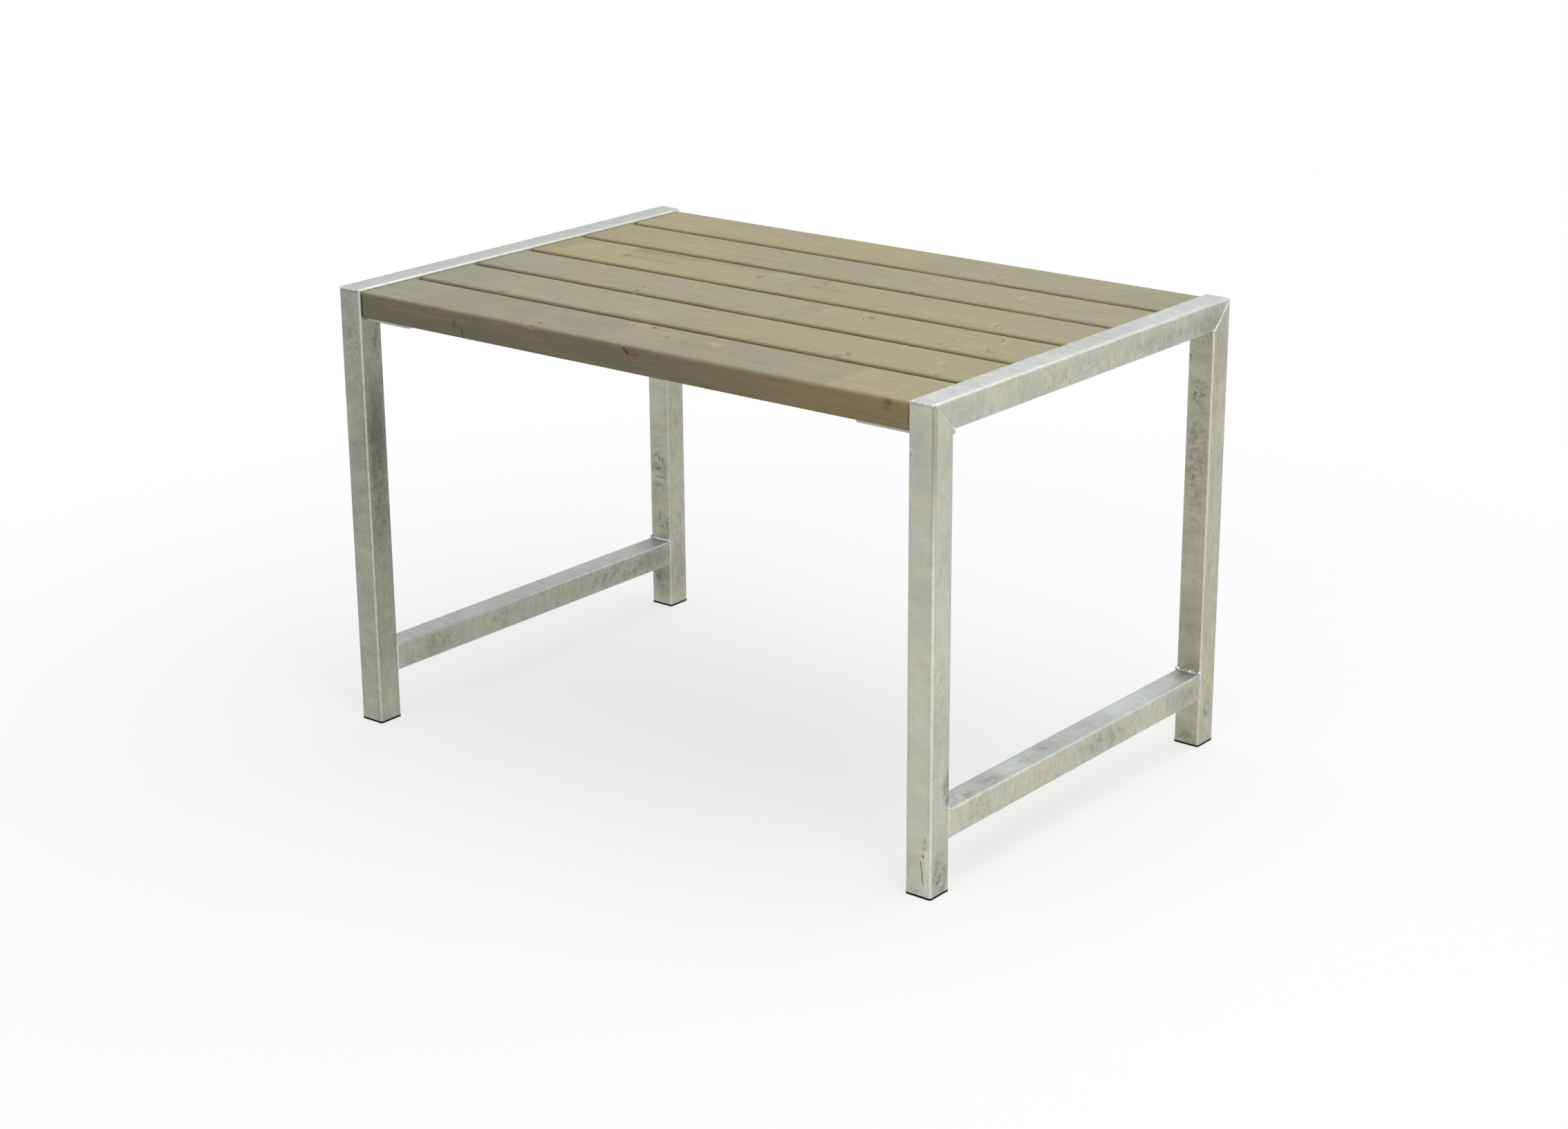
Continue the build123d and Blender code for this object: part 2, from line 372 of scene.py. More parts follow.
def steel_material(name, steel, seed):
    """Hot-dip zinc: warm and cool patches, slanting smears, sandy grain and small dark pits; a painted glint
    on the rounded corners with a dotted dark line beside it; and painted shade and light in soft patches, on
    what faces up and on a dark corner."""
    nodes = Surface(name)
    clouds = steel.clouds
    shifted = nodes.vector("ADD", nodes.place, (seed * 1.3, seed * 1.7, seed * 0.6))
    broad = nodes.noise(shifted, 7.0, 2.0)
    patch = nodes.noise(shifted, 26.0, 5.0, 0.6, 1.2)
    cloud = nodes.noise(shifted, 60.0, 6.0, 0.64, 0.6)
    tilted = nodes.add("Mapping", {"Vector": shifted, "Rotation": (0.75, 0.6, 0.35),
                                   "Scale": (16.0, 130.0, 44.0)}).outputs["Vector"]
    smear = nodes.noise(tilted, 1.0, 5.0, 0.62, 0.5)
    sand = nodes.noise(shifted, 620.0, 3.0, 0.75)
    level = nodes.swing(1.0, (broad, 0.30 * clouds), (cloud, 0.60 * clouds), (smear, 0.60 * clouds),
                        (sand, 0.46 * steel.sandy))
    # Soft patches, partly the zinc's patina and partly painted shade and light: darker under the table top,
    # lighter near the floor.
    for centre, radii, darker in steel.shades:
        level = nodes.stack(level, (nodes.within(centre, radii, 1.3, 0.0), -darker))
    warm = nodes.step(patch, 0.34, 0.66, 0.5 - 0.42 * clouds, 0.5 + 0.42 * clouds)
    shade = nodes.scaled(nodes.mix(warm, ZINC_COOL, ZINC_WARM), level)
    shade = nodes.each(shade, [steel.tone * share for share in steel.tint])
    # What faces up gets a bluer tint and, where top is below 1, a darker level: painted reflection and
    # painted shade from above.
    upward = nodes.step(nodes.facing()["Z"], 0.5, 0.9)
    shade = nodes.tint(upward, shade, [steel.top * share for share in steel.painted_top_tint])
    blotch = nodes.step(nodes.stack(cloud, (sand, 0.5)), 0.84, 1.02)
    shade = nodes.mix(blotch, shade, ZINC_DARK, 0.26 * clouds)
    speckle = nodes.step(nodes.stack(nodes.noise(shifted, 90.0, 6.0, 0.75, 0.5), (sand, 0.55)), 0.72, 0.90)
    for centre, radii, strength in steel.stains:
        stain = nodes.times(nodes.within(centre, radii, 1.15, 0.3), speckle)
        shade = nodes.mix(stain, shade, ZINC_DARK, strength)

    low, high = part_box(name)
    local = nodes.parts(nodes.vector("SUBTRACT", nodes.place, (low + high) / 2))
    across = "Y" if steel.along == "Z" else "Z"
    aside = nodes.math("MINIMUM", nodes.size(local["X"]), nodes.size(local[across]))
    uneven = nodes.stack(-0.8 * MM, (nodes.noise(shifted, 45.0, 3.0), 1.6 * MM))
    aside = nodes.math("ADD", aside, uneven)
    # A painted glint: paler zinc along the rounded corners, where light would catch them.
    arc = nodes.step(aside, CORNER_START + 0.7 * MM, CORNER_START + 2.3 * MM)
    painted_glint = nodes.times(arc, nodes.step(nodes.noise(shifted, 90.0, 4.0, 0.65), 0.15, 0.60))
    # Painted shade: above the given height this corner loses its glint and turns to darker zinc.
    if steel.painted_dark_corner:
        side_x, side_y, above = steel.painted_dark_corner
        here = nodes.times(nodes.step(nodes.times(local["X"], side_x), 10 * MM, 14 * MM),
                           nodes.step(nodes.times(local["Y"], side_y), 10 * MM, 14 * MM))
        here = nodes.times(here, nodes.step(nodes.spot["Z"], (above - DARK_FADE) * MM,
                                            (above + DARK_FADE) * MM))
        painted_glint = nodes.times(painted_glint, nodes.less(1.0, here))
        rounded = nodes.step(aside, CORNER_START - 3.0 * MM, CORNER_START + 2.0 * MM)
        shade = nodes.mix(nodes.times(here, rounded), shade, ZINC_DARK, 0.5)
    shade = nodes.mix(painted_glint, shade, ZINC_PAINTED_GLINT, steel.edge)
    beside = nodes.step(nodes.size(nodes.less(aside, CORNER_START - 1.6 * MM)), 1.1 * MM, 0.1 * MM)
    dotted = nodes.times(beside, nodes.step(nodes.noise(shifted, 210.0, 3.0, 0.7), 0.52, 0.64))

    cells = nodes.add("TexVoronoi", {"Vector": shifted, "Scale": 120.0}).outputs
    luck = nodes.parts(cells["Color"])
    dot = nodes.math("LESS_THAN", cells["Distance"], nodes.stack(0.05, (luck["Y"], 0.10)))
    rare = nodes.math("GREATER_THAN", luck["X"], nodes.step(cloud, 0.42, 0.62, 0.985, 0.90))
    pit = nodes.larger(nodes.times(nodes.times(dot, rare), 0.8), nodes.times(dotted, 0.3))
    torn = nodes.step(nodes.noise(shifted, 260.0, 4.0, 0.6, 0.8), 0.60, 0.64)
    for centre, radii, strength in steel.chips:
        chip = nodes.times(torn, nodes.within(centre, radii, 1.1, 0.5))
        pit = nodes.larger(pit, nodes.times(chip, strength))
    wander = nodes.stack(-1 * MM, (nodes.noise(shifted, 9.0, 3.0), 2 * MM))
    broken = nodes.step(nodes.noise(shifted, 20.0, 4.0), 0.40, 0.54)
    for *line, strength in steel.seams:
        seam = nodes.times(line_on_face(nodes, wander, *line), broken)
        pit = nodes.larger(pit, nodes.times(seam, strength))
    shade = nodes.mix(pit, shade, ZINC_PIT)
    # Pale bands: painted highlights along a rounded edge.
    for *line, strength in steel.bands:
        shade = nodes.mix(line_on_face(nodes, wander, *line), shade, ZINC_PAINTED_GLINT, strength)

    state = (shade, nodes.stack(cloud, (painted_glint, 0.15), (sand, 0.30), (pit, -0.8)))
    shaken = nodes.shaken(120.0, 2 * MM)
    for start, end, half, strength in steel.scratches:
        state = add_mark(nodes, state, shaken, metres(start), metres(end), half * MM,
                         (ZINC_PIT, ZINC_DARK), strength)
    shade, height = state
    rough = nodes.stack(0.30, (cloud, 0.34), (painted_glint, -0.10), (pit, 0.3))
    return nodes.finish(shade, rough, height, 0.6, 0.4 * MM, metallic=0.65)


def weld_material():
    """Zinc over weld metal: brighter and shinier than the tubes, pitted between its lumps."""
    nodes = Surface("galvanised_weld")
    lumps = nodes.noise(nodes.place, 420.0, 4.0, 0.6)
    broad = nodes.noise(nodes.place, 60.0, 2.0)
    level = nodes.stack(0.45, (nodes.math("ADD", lumps, broad), 0.55))
    shade = nodes.scaled(paint(206, 208, 203)[:3], level)
    hollow = nodes.step(nodes.stack(lumps, (broad, 0.5)), 0.61, 0.52)
    deep = nodes.step(nodes.spot["Z"], 0.5, 0.6, 0.75, 0.35)
    shade = nodes.mix(hollow, shade, paint(66, 64, 60), deep)
    return nodes.finish(shade, nodes.stack(0.14, (broad, 0.30)), lumps, 0.45, 0.5 * MM, metallic=0.75)


def screw_material():
    """Bright plated bolts: turned rings round each head, a few dull spots."""
    nodes = Surface("plated_screws")
    spin = nodes.noise(nodes.each(nodes.place, (1.0, 1.0, 9.0)), 700.0, 2.0)
    dull = nodes.noise(nodes.place, 180.0, 4.0, 0.6)
    shade = nodes.scaled(paint(176, 178, 176)[:3], nodes.stack(0.82, (spin, 0.3)))
    shade = nodes.mix(nodes.step(dull, 0.6, 0.75), shade, paint(120, 114, 100))
    return nodes.finish(shade, nodes.stack(0.18, (dull, 0.35)), spin, 0.3, 0.1 * MM, metallic=0.9)


def plastic_material():
    """Black moulded plastic with a fine leathery skin, dusty and scuffed in places."""
    nodes = Surface("black_plastic")
    skin = nodes.add("TexVoronoi", {"Vector": nodes.place, "Scale": 1500.0}).outputs["Distance"]
    dust = nodes.noise(nodes.place, 120.0, 5.0, 0.65)
    shade = nodes.mix(nodes.step(dust, 0.35, 0.8), paint(6, 6, 7), paint(17, 16, 16))
    return nodes.finish(shade, nodes.stack(0.45, (dust, 0.30)), nodes.stack(skin, (dust, 0.6)),
                        0.35, 0.2 * MM, specular=0.15)


# Stained softwood.
# The stain's few tones, from where it took cool and thin to where it took warm and thick.
WOOD_TONES = {
    "cool": paint(134, 133, 110),
    "olive": paint(131, 127, 101),
    "fawn": paint(136, 132, 104),
    "ash": paint(140, 137, 110),
    "straw": paint(141, 134, 101),
    "honey": paint(148, 140, 104),
    "shade": paint(133, 127, 99),
}
# The front face's tone at its left end and at its right; lighter and yellower to the right is painted light.
FACE_LEFT = paint(114, 110, 90)
FACE_RIGHT = paint(140, 126, 88)
BARE_WOOD = paint(158, 133, 88)
EDGE_RUST = paint(150, 112, 72)
# Painted shade: factors that darken the sides facing a gap, and darken and brown the front arris above a gap.
GAP_PAINTED_SHADE = (0.56, 0.50, 0.42)
ARRIS_PAINTED_SHADE = (0.86, 0.79, 0.68)
# Where a plank's two strips meet, back from its front edge, in millimetres.
GLUE_LINE = 70
# Which stretch of the grain the front face shows.
FACE_BLOCK = 0.37


def make_wood_group():
    """Grain of one glued block: growth rings round an unseen heart, fibres and stain along the plank."""
    nodes = Group("wood_grain", {"Place": "Vector", "Tone": "Color", "Block": "Float", "Front": "Float"},
                  {"Colour": "Color", "Height": "Float", "Gloss": "Float"})
    given = nodes.given
    block = given["Block"]
    place = nodes.vector("ADD", given["Place"],
                         nodes.join(nodes.times(block, 7.0), nodes.times(block, 3.1), block))
    spot = nodes.parts(given["Place"])
    drift = nodes.noise(place, (2.2, 9.0, 9.0), 2.0)
    heart_y = nodes.swing(nodes.stack(given["Front"], (block, 0.13)), (drift, 0.05))
    heart_z = nodes.stack(0.60, (block, 0.06))
    ring_reach = nodes.vector("LENGTH", nodes.join(0.0, nodes.less(spot["Y"], heart_y),
                                                   nodes.less(spot["Z"], heart_z)))
    wobble = nodes.noise(place, (4.0, 26.0, 26.0), 4.0)
    phase = nodes.stack(nodes.times(wobble, 16.0), (ring_reach, 1000.0))
    ring = nodes.math("POWER", nodes.stack(0.5, (nodes.math("SINE", phase), 0.5)), 2.2)
    fibre = nodes.noise(place, (14.0, 900.0, 900.0), 3.0, 0.6)
    streak = nodes.noise(place, (5.0, 95.0, 95.0), 4.0, 0.6, 0.5)
    stain = nodes.noise(place, (6.0, 16.0, 16.0), 4.0, 0.6)
    mottle = nodes.noise(place, (13.0, 52.0, 52.0), 5.0, 0.62, 1.0)
    level = nodes.swing(nodes.stack(1.02, (ring, -0.06)),
                        (fibre, 0.18), (streak, 0.20), (stain, 0.26), (mottle, 0.30))
    shade = nodes.scaled(given["Tone"], level)
    shade = nodes.tint(nodes.step(streak, 0.44, 0.62), shade, (1.08, 1.01, 0.84), 0.30)
    shade = nodes.tint(nodes.step(mottle, 0.56, 0.40), shade, (0.94, 0.97, 1.04), 0.45)

    facing = nodes.facing()
    upright = nodes.step(nodes.size(facing["Z"]), 0.6, 0.2)
    bare = nodes.step(nodes.noise(place, (5.0, 90.0, 90.0), 5.0, 0.62, 0.6), 0.46, 0.70)
    shade = nodes.mix(nodes.times(bare, upright), shade, BARE_WOOD, 0.55)
    end = nodes.step(nodes.size(facing["X"]), 0.6, 0.85)
    end_shade = nodes.tint(ring, nodes.each(shade, (0.74, 0.70, 0.62)), (0.62, 0.55, 0.48), 0.45)
    open_pores = nodes.times(nodes.noise(place, 900.0, 2.0), end)
    return nodes.finish(Colour=nodes.mix(end, shade, end_shade),
                        Height=nodes.stack(nodes.times(ring, 0.35), (fibre, 0.8), (open_pores, 0.5)),
                        Gloss=nodes.stack(0.36, (stain, 0.2), (fibre, 0.22)))


wood_group = make_wood_group()

# Each look is the colour of a mark's core, the colour round it, and how dark its rim is.
LOOKS = {
    "black": ((24, 20, 16), (52, 44, 32), 0.0),
    "dark": ((40, 35, 28), (90, 84, 64), 0.0),
    "soft_dark": ((104, 98, 76), (116, 110, 84), 0.0),
    "brown": ((96, 82, 56), (124, 114, 84), 0.0),
    "brown_band": ((126, 112, 80), (130, 116, 84), 0.0),
    "red": ((92, 70, 48), (122, 108, 80), 0.0),
    "red_knot": ((100, 80, 54), (124, 108, 78), 0.5),
    "pink": ((158, 138, 110), (150, 138, 108), 0.10),
    "pale": ((160, 152, 122), (150, 143, 112), 0.0),
    "yellow": ((172, 160, 108), (156, 148, 104), 0.0),
    "gold": ((154, 130, 86), (140, 122, 84), 0.0),
    "rust": ((148, 86, 48), (128, 100, 66), 0.0),
    "green": ((84, 86, 68), (98, 98, 78), 0.0),
    "slate": ((104, 104, 88), (112, 110, 90), 0.0),
}


@dataclass
class Plank:
    """What one plank looks like. A place is x along the table and then, as across, the distance back from
    the plank's front edge, or on its front face the height above the ground. All are millimetres.
    blocks are (x of the block's end, or None at the plank's end, its tone, its tone behind the glue line if
    that differs); marks are (x, across, end x, end across, radius, look, strength); flows are (x, across,
    size) of knots that bend the grain; flecks are (from x, to x, strength)."""

    number: int
    blocks: list
    marks: list
    flows: list
    face_marks: tuple = ()
    face_flows: tuple = ()
    flecks: tuple = ()

    @property
    def node(self):
        return f"plank_{self.number}"


PLANKS = [
    Plank(
        1, [(-424, "cool"), (-48, "olive"), (60, "fawn"), (383, "olive"), (None, "straw")],
        [(-180, 7, -168, 5, 7, "gold", 0.7), (-172, 4, -165, 1, 3, "red", 0.8),
         (-172, 27, -168, 20, 3, "dark", 0.5), (-13, 105, -10, 102, 4.5, "red_knot", 1.0),
         (-60, 104, -20, 104, 3, "pale", 0.6), (38, 73, 40, 71, 4.5, "brown", 0.9),
         (118, 84, 130, 82, 10, "pale", 0.5), (83, 60, 86, 58, 2, "dark", 0.6),
         (94, 50, 96, 49, 2, "pale", 0.8), (484, 46, 494, 14, 7.0, "pink", 0.9),
         (479, 52, 489, 38, 0.9, "brown", 0.35), (489, 38, 501, 20, 0.9, "brown", 0.4),
         (474, 60, 484, 62, 1.6, "pale", 0.6)],
        [(490, 30, 16), (-11, 104, 9), (39, 72, 9), (-174, 8, 14), (124, 83, 12)],
        face_marks=[(-497, 719, -450, 718, 1.8, "gold", 0.6), (-480, 711, -300, 712, 3.0, "gold", 0.25),
            (-331, 713, -326, 704, 3.4, "green", 0.9), (-334, 706, -329, 700, 2.0, "dark", 0.5),
            (-314, 702, -311, 689, 1.5, "black", 0.85), (-318, 697, -316, 690, 3.0, "rust", 0.4),
            (-184, 727, -164, 727, 4.0, "gold", 0.6), (-178, 728, -166, 727, 1.6, "red", 0.8),
            (25, 720, 37, 719, 3.2, "rust", 0.9), (37, 719, 48, 718, 1.9, "rust", 0.8),
            (17, 722, 24, 717, 2.2, "black", 1.0), (24, 716, 43, 716, 0.9, "black", 0.9),
            (495, 723, 496, 723, 9.5, "gold", 0.7), (497, 723, 498, 722, 6.8, "red_knot", 0.75),
            (500, 722, 501, 721, 2.6, "red", 1.0), (488, 713, 502, 712, 1.6, "green", 0.5),
            (173, 690, 182, 689, 2.0, "dark", 0.9), (-98, 688, -96, 690, 1.2, "dark", 0.8),
            (234, 688, 238, 693, 1.0, "dark", 0.7)],
        face_flows=[(-316, 704, 17), (-172, 724, 12), (32, 718, 10), (496, 723, 11), (180, 700, 9)],
        flecks=[(-490, -60, 1.0), (50, 190, 0.25)]),
    Plank(
        2, [(-422, "cool"), (-51, "ash"), (55, "fawn"), (None, "straw")],
        [(-404, 93, -402, 90, 3, "dark", 0.35), (-406, 100, -405, 98, 2, "dark", 0.3),
         (-288, 45, -284, 41, 1.5, "red", 0.9), (-344, 110, -341, 106, 1.4, "dark", 0.4),
         (-365, 8, -350, 7, 3, "soft_dark", 0.7), (10, 85, 12, 84, 2.2, "red", 0.8),
         (263, 57, 267, 53, 1.3, "pale", 1.0), (311, 28, 314, 22, 3.2, "red_knot", 0.9),
         (302, 9, 306, 8, 7, "soft_dark", 0.6), (381, 22, 385, 20, 1.6, "yellow", 1.0),
         (444, 68, 448, 64, 6, "pale", 0.5), (456, 46, 462, 40, 7, "pink", 0.8),
         (459, 44, 461, 41, 1.4, "red", 0.7), (463, 50, 466, 49, 3, "soft_dark", 0.7),
         (386, 117, 392, 115, 3.5, "soft_dark", 0.8), (478, 9, 484, 8, 3, "dark", 0.5),
         (228, 9, 232, 9, 2, "dark", 0.6)],
        [(312, 25, 9), (459, 44, 13), (-288, 44, 7), (446, 66, 9), (-403, 92, 7)]),
    Plank(
        3, [(-412, "cool"), (-36, "fawn"), (72, "ash"), (121, "fawn", "shade"), (None, "straw")],
        [(-523, 49, -521, 46, 2, "dark", 0.35), (-355, 110, -345, 106, 6, "yellow", 0.25),
         (-203, 35, -199, 33, 2.5, "dark", 0.5), (-195, 12, -190, 7, 2.2, "dark", 0.9),
         (436, 118, 459, 68, 6, "pink", 0.9), (443, 98, 449, 84, 2.2, "red", 0.9),
         (199, 79, 206, 71, 6, "pale", 0.7), (199, 79, 206, 71, 2.0, "red", 1.0),
         (206, 92, 210, 84, 6, "soft_dark", 0.6), (166, 61, 167, 61, 1.8, "dark", 0.8),
         (378, 93, 382, 93, 1.3, "brown", 0.9), (386, 94, 390, 93, 1.3, "brown", 0.9),
         (394, 93, 400, 93, 1.3, "brown", 0.9), (385, 52, 386, 51, 2, "dark", 0.6),
         (379, 22, 384, 22, 5, "soft_dark", 0.5), (455, 41, 458, 38, 2.5, "dark", 0.4),
         (462, 30, 470, 26, 4, "soft_dark", 0.5), (114, 92, 138, 74, 4, "pale", 0.4)],
        [(448, 92, 16), (203, 76, 13), (-195, 10, 8), (-203, 34, 7), (385, 52, 8)]),
    Plank(
        4,
        [(-495, "straw"), (-390, "honey"), (-94, "straw"), (-42, "ash"), (13, "fawn"), (400, "straw"),
         (510, "fawn"), (None, "straw")],
        [(-385, 108, -100, 112, 11, "brown_band", 0.55), (-380, 92, -250, 98, 12, "brown_band", 0.4),
         (-374, 62, -372, 54, 7, "soft_dark", 0.8), (-366, 58, -275, 57, 7, "brown_band", 0.5),
         (-98, 73, -97, 61, 3.4, "red_knot", 1.0), (5, 110, 20, 84, 4, "brown_band", 0.5),
         (14, 68, 19, 64, 5, "brown", 0.9), (19, 65, 75, 62, 6, "brown_band", 0.6),
         (378, 42, 385, 21, 5.5, "pale", 0.7), (384, 40, 388, 22, 2.4, "soft_dark", 0.8)],
        [(-98, 67, 10), (16, 66, 13), (382, 32, 11), (-374, 58, 9)]),
    Plank(
        5, [(-242, "straw"), (321, "fawn"), (None, "fawn")],
        [(-494, 31, -476, 33, 1.3, "red", 0.7), (-486, 28, -478, 31, 1.0, "red", 0.6),
         (-416, 60, -408, 60, 1.4, "dark", 0.6), (-234, 55, -232, 53, 3.4, "brown", 0.8),
         (-410, 51, -135, 51, 4, "pale", 0.35), (160, 44, 164, 42, 5, "pale", 0.6),
         (181, 61, 185, 59, 5, "pale", 0.6), (100, 73, 104, 71, 4, "pale", 0.5),
         (313, 83, 319, 60, 4, "pale", 0.7), (340, 65, 420, 66, 2.5, "pale", 0.4),
         (153, 2, 156, 1, 2.5, "dark", 0.6), (289, 9, 292, 8, 2, "dark", 0.6)],
        [(-233, 54, 9), (316, 72, 11), (162, 43, 9), (-486, 30, 8)]),
    Plank(
        6, [(-396, "honey"), (50, "straw"), (422, "fawn"), (None, "olive")],
        [(-275, 67, -267, 67, 1.4, "dark", 0.8), (-500, 106, -480, 107, 2, "brown", 0.4),
         (-321, 118, -319, 116, 2.6, "dark", 0.7), (160, 108, 164, 104, 6, "pale", 0.6),
         (150, 87, 152, 85, 3, "yellow", 0.7), (200, 48, 204, 46, 4, "soft_dark", 0.6),
         (213, 9, 214, 6, 2, "dark", 0.9), (381, 84, 385, 83, 5, "pale", 0.5),
         (438, 106, 442, 104, 5, "pale", 0.5)], [(150, 86, 8), (383, 84, 9), (162, 106, 9), (-320, 117, 7)]),
]


def paint_gap_shade(nodes, shade, facing, number):
    """Painted shade in the gaps: the sides that face a gap darker, and the front arris above a gap darker and
    browner.
    """
    if number > 1:
        shade = nodes.tint(nodes.step(facing["Y"], -0.40, -0.75), shade, ARRIS_PAINTED_SHADE)
        shade = nodes.tint(nodes.step(facing["Y"], -0.80, -0.99), shade, GAP_PAINTED_SHADE)
    if number < len(PLANKS):
        shade = nodes.tint(nodes.step(facing["Y"], 0.55, 0.95), shade, GAP_PAINTED_SHADE)
    return shade


def add_flecks(nodes, shade, upward, flecks):
    """Fine pale flecks over the stretches in flecks, each (from, to, strength) in millimetres."""
    cells = nodes.add("TexVoronoi", {"Vector": nodes.each(nodes.place, (520.0, 330.0, 520.0)),
                                     "Scale": 1.0}).outputs
    luck = nodes.parts(cells["Color"])
    tick = nodes.step(cells["Distance"], nodes.stack(0.14, (luck["Z"], 0.22)), 0.06)
    where = 0.0
    for first, last, strength in flecks:
        inside = nodes.times(nodes.step(nodes.spot["X"], first * MM, (first + 50) * MM),
                             nodes.step(nodes.spot["X"], last * MM, (last - 90) * MM))
        where = nodes.stack(where, (inside, strength))
    thick = nodes.step(nodes.noise(nodes.place, (14.0, 30.0, 30.0), 3.0), 0.36, 0.62)
    often = nodes.stack(0.995, (nodes.times(where, thick), -0.88))
    fleck = nodes.times(tick, nodes.math("GREATER_THAN", luck["X"], often))
    pale = nodes.mix(luck["Y"], paint(222, 205, 148), paint(228, 221, 188))
    return nodes.mix(fleck, shade, pale, nodes.step(upward, 0.5, 0.8, 0.25, 0.85))


def wood_material(plank, face_only=False):
    """One plank's wood: the tone of each glued block, its own grain, and the marks in their places.
    face_only gives the wood of its front face, whose marks are separate."""
    nodes = Surface(f"wood_{plank.number}" + ("_face" if face_only else ""))
    low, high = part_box(plank.node)
    length = high.x - low.x
    spot = nodes.spot
    along = nodes.math("DIVIDE", nodes.less(spot["X"], low.x), length)
    if face_only:
        number = FACE_BLOCK
        # Lighter and yellower towards the right end: painted light.
        tone = nodes.mix(nodes.step(along, 0.45, 1.0), FACE_LEFT, FACE_RIGHT)
        flows, marks = plank.face_flows, plank.face_marks
    else:
        dice = random.Random(plank.number * 11)
        starts = [0.0] + [(end * MM - low.x) / length for end, *_ in plank.blocks[:-1]]
        number = nodes.bands(along, starts, [grey(dice.random()) for _ in starts])
        lift = nodes.bands(along, starts, [grey(dice.uniform(0.97, 1.03)) for _ in starts])
        front = nodes.bands(along, starts, [WOOD_TONES[block[1]] for block in plank.blocks])
        behind = nodes.bands(along, starts, [WOOD_TONES[block[-1]] for block in plank.blocks])
        past_glue = nodes.step(spot["Y"], low.y + (GLUE_LINE - 0.2) * MM, low.y + (GLUE_LINE + 0.2) * MM)
        tone = nodes.each(nodes.mix(past_glue, front, behind), lift)
        flows, marks = plank.flows, plank.marks

    def on_wood(x, across):
        """A point on the front face if face_only, and otherwise on the top, in metres."""
        return (x * MM, low.y, across * MM) if face_only else (x * MM, low.y + across * MM, high.z)

    bent = nodes.place
    for x, across, size in flows:
        bent = nodes.use(flow_group, {"Place": bent, "Centre": on_wood(x, across), "Strength": 0.75,
                                      "Radii": metres((2.2 * size, size, size))})["Place"]
    grain = nodes.use(wood_group, {"Place": bent, "Tone": tone, "Block": number, "Front": low.y - 5 * MM})
    shade = grain["Colour"]
    if face_only:
        shade = nodes.mix(0.45, shade, tone)
        streaks = nodes.noise(bent, (10.0, 10.0, 95.0), 4.0, 0.55, 0.6)
        rightwards = nodes.step(along, 0.35, 0.85, 0.25, 1.0)
        for look, edge, full, share in (("gold", 0.50, 0.72, 0.55), ("slate", 0.48, 0.30, 0.50)):
            streak = nodes.times(nodes.step(streaks, edge, full), rightwards)
            shade = nodes.mix(streak, shade, paint(*LOOKS[look][0]), share)

    shaken = nodes.shaken(150.0, 6 * MM)
    grit = nodes.stack(-0.45, (nodes.noise(nodes.place, 420.0, 3.0, 0.65), 0.9))
    state = (shade, grain["Height"])
    for x, across, end_x, end_across, radius, look, amount in marks:
        core, body, rim = LOOKS[look]
        state = add_mark(nodes, state, shaken, on_wood(x, across), on_wood(end_x, end_across), radius * MM,
                         (paint(*core), paint(*body)), amount, rim * amount, grit)
    shade, height = state
    facing = nodes.facing()
    if face_only:
        lowest = nodes.step(spot["Z"], low.z + 3.6 * MM, low.z + 1.2 * MM)
        rightmost = nodes.step(spot["X"], high.x - 2.5 * MM, high.x - 0.8 * MM)
        shade = nodes.mix(nodes.larger(lowest, rightmost), shade, EDGE_RUST, 0.55)
    else:
        shade = paint_gap_shade(nodes, shade, facing, plank.number)
    if plank.flecks:
        shade = add_flecks(nodes, shade, facing["Z"], plank.flecks)
    return nodes.finish(shade, grain["Gloss"], height, 0.6, 0.4 * MM)


# Mesh building.
def join_rings(mesh_builder, rings):
    """Faces between each ring of vertices and the next."""
    size = len(rings[0])
    for first, second in zip(rings, rings[1:]):
        for i in range(size):
            j = (i + 1) % size
            mesh_builder.faces.new((first[i], second[i], second[j], first[j]))


def add_object(mesh_builder, name):
    mesh = bpy.data.meshes.new(name)
    mesh_builder.to_mesh(mesh)
    mesh_builder.free()
    made = bpy.data.objects.new(name, mesh)
    scene.collection.objects.link(made)
    return made


# Plank shapes.
TOP_RADIUS = 5 * MM
BOTTOM_RADIUS = 3 * MM
END_CHAMFER = 1 * MM
ARC_STEPS = 6
# Between the points of a section. The front plank's are closer, for the hollows in its face.
FRONT_SPACING = 2.2 * MM
SPACING = 4.0 * MM
# Between the sections, as a share of that.
STATION_SHARE = 1.15
# How deep the surface waves, and the worn corners' fine and coarse unevenness go.
SURFACE_WAVE = 0.08 * MM
CORNER_FINE = 0.35 * MM
CORNER_COARSE = 0.40 * MM
# The rings that close a plank's end, as shares of its outline.
CAP_SHARES = (0.94, 0.8, 0.6, 0.4, 0.2)
# Edges sharper than this, in degrees, aren't shaded smooth.
SHARP_ANGLE = 40
# The front face's own material goes where the surface faces the front at least this much.
FRONT_FACING = -0.7


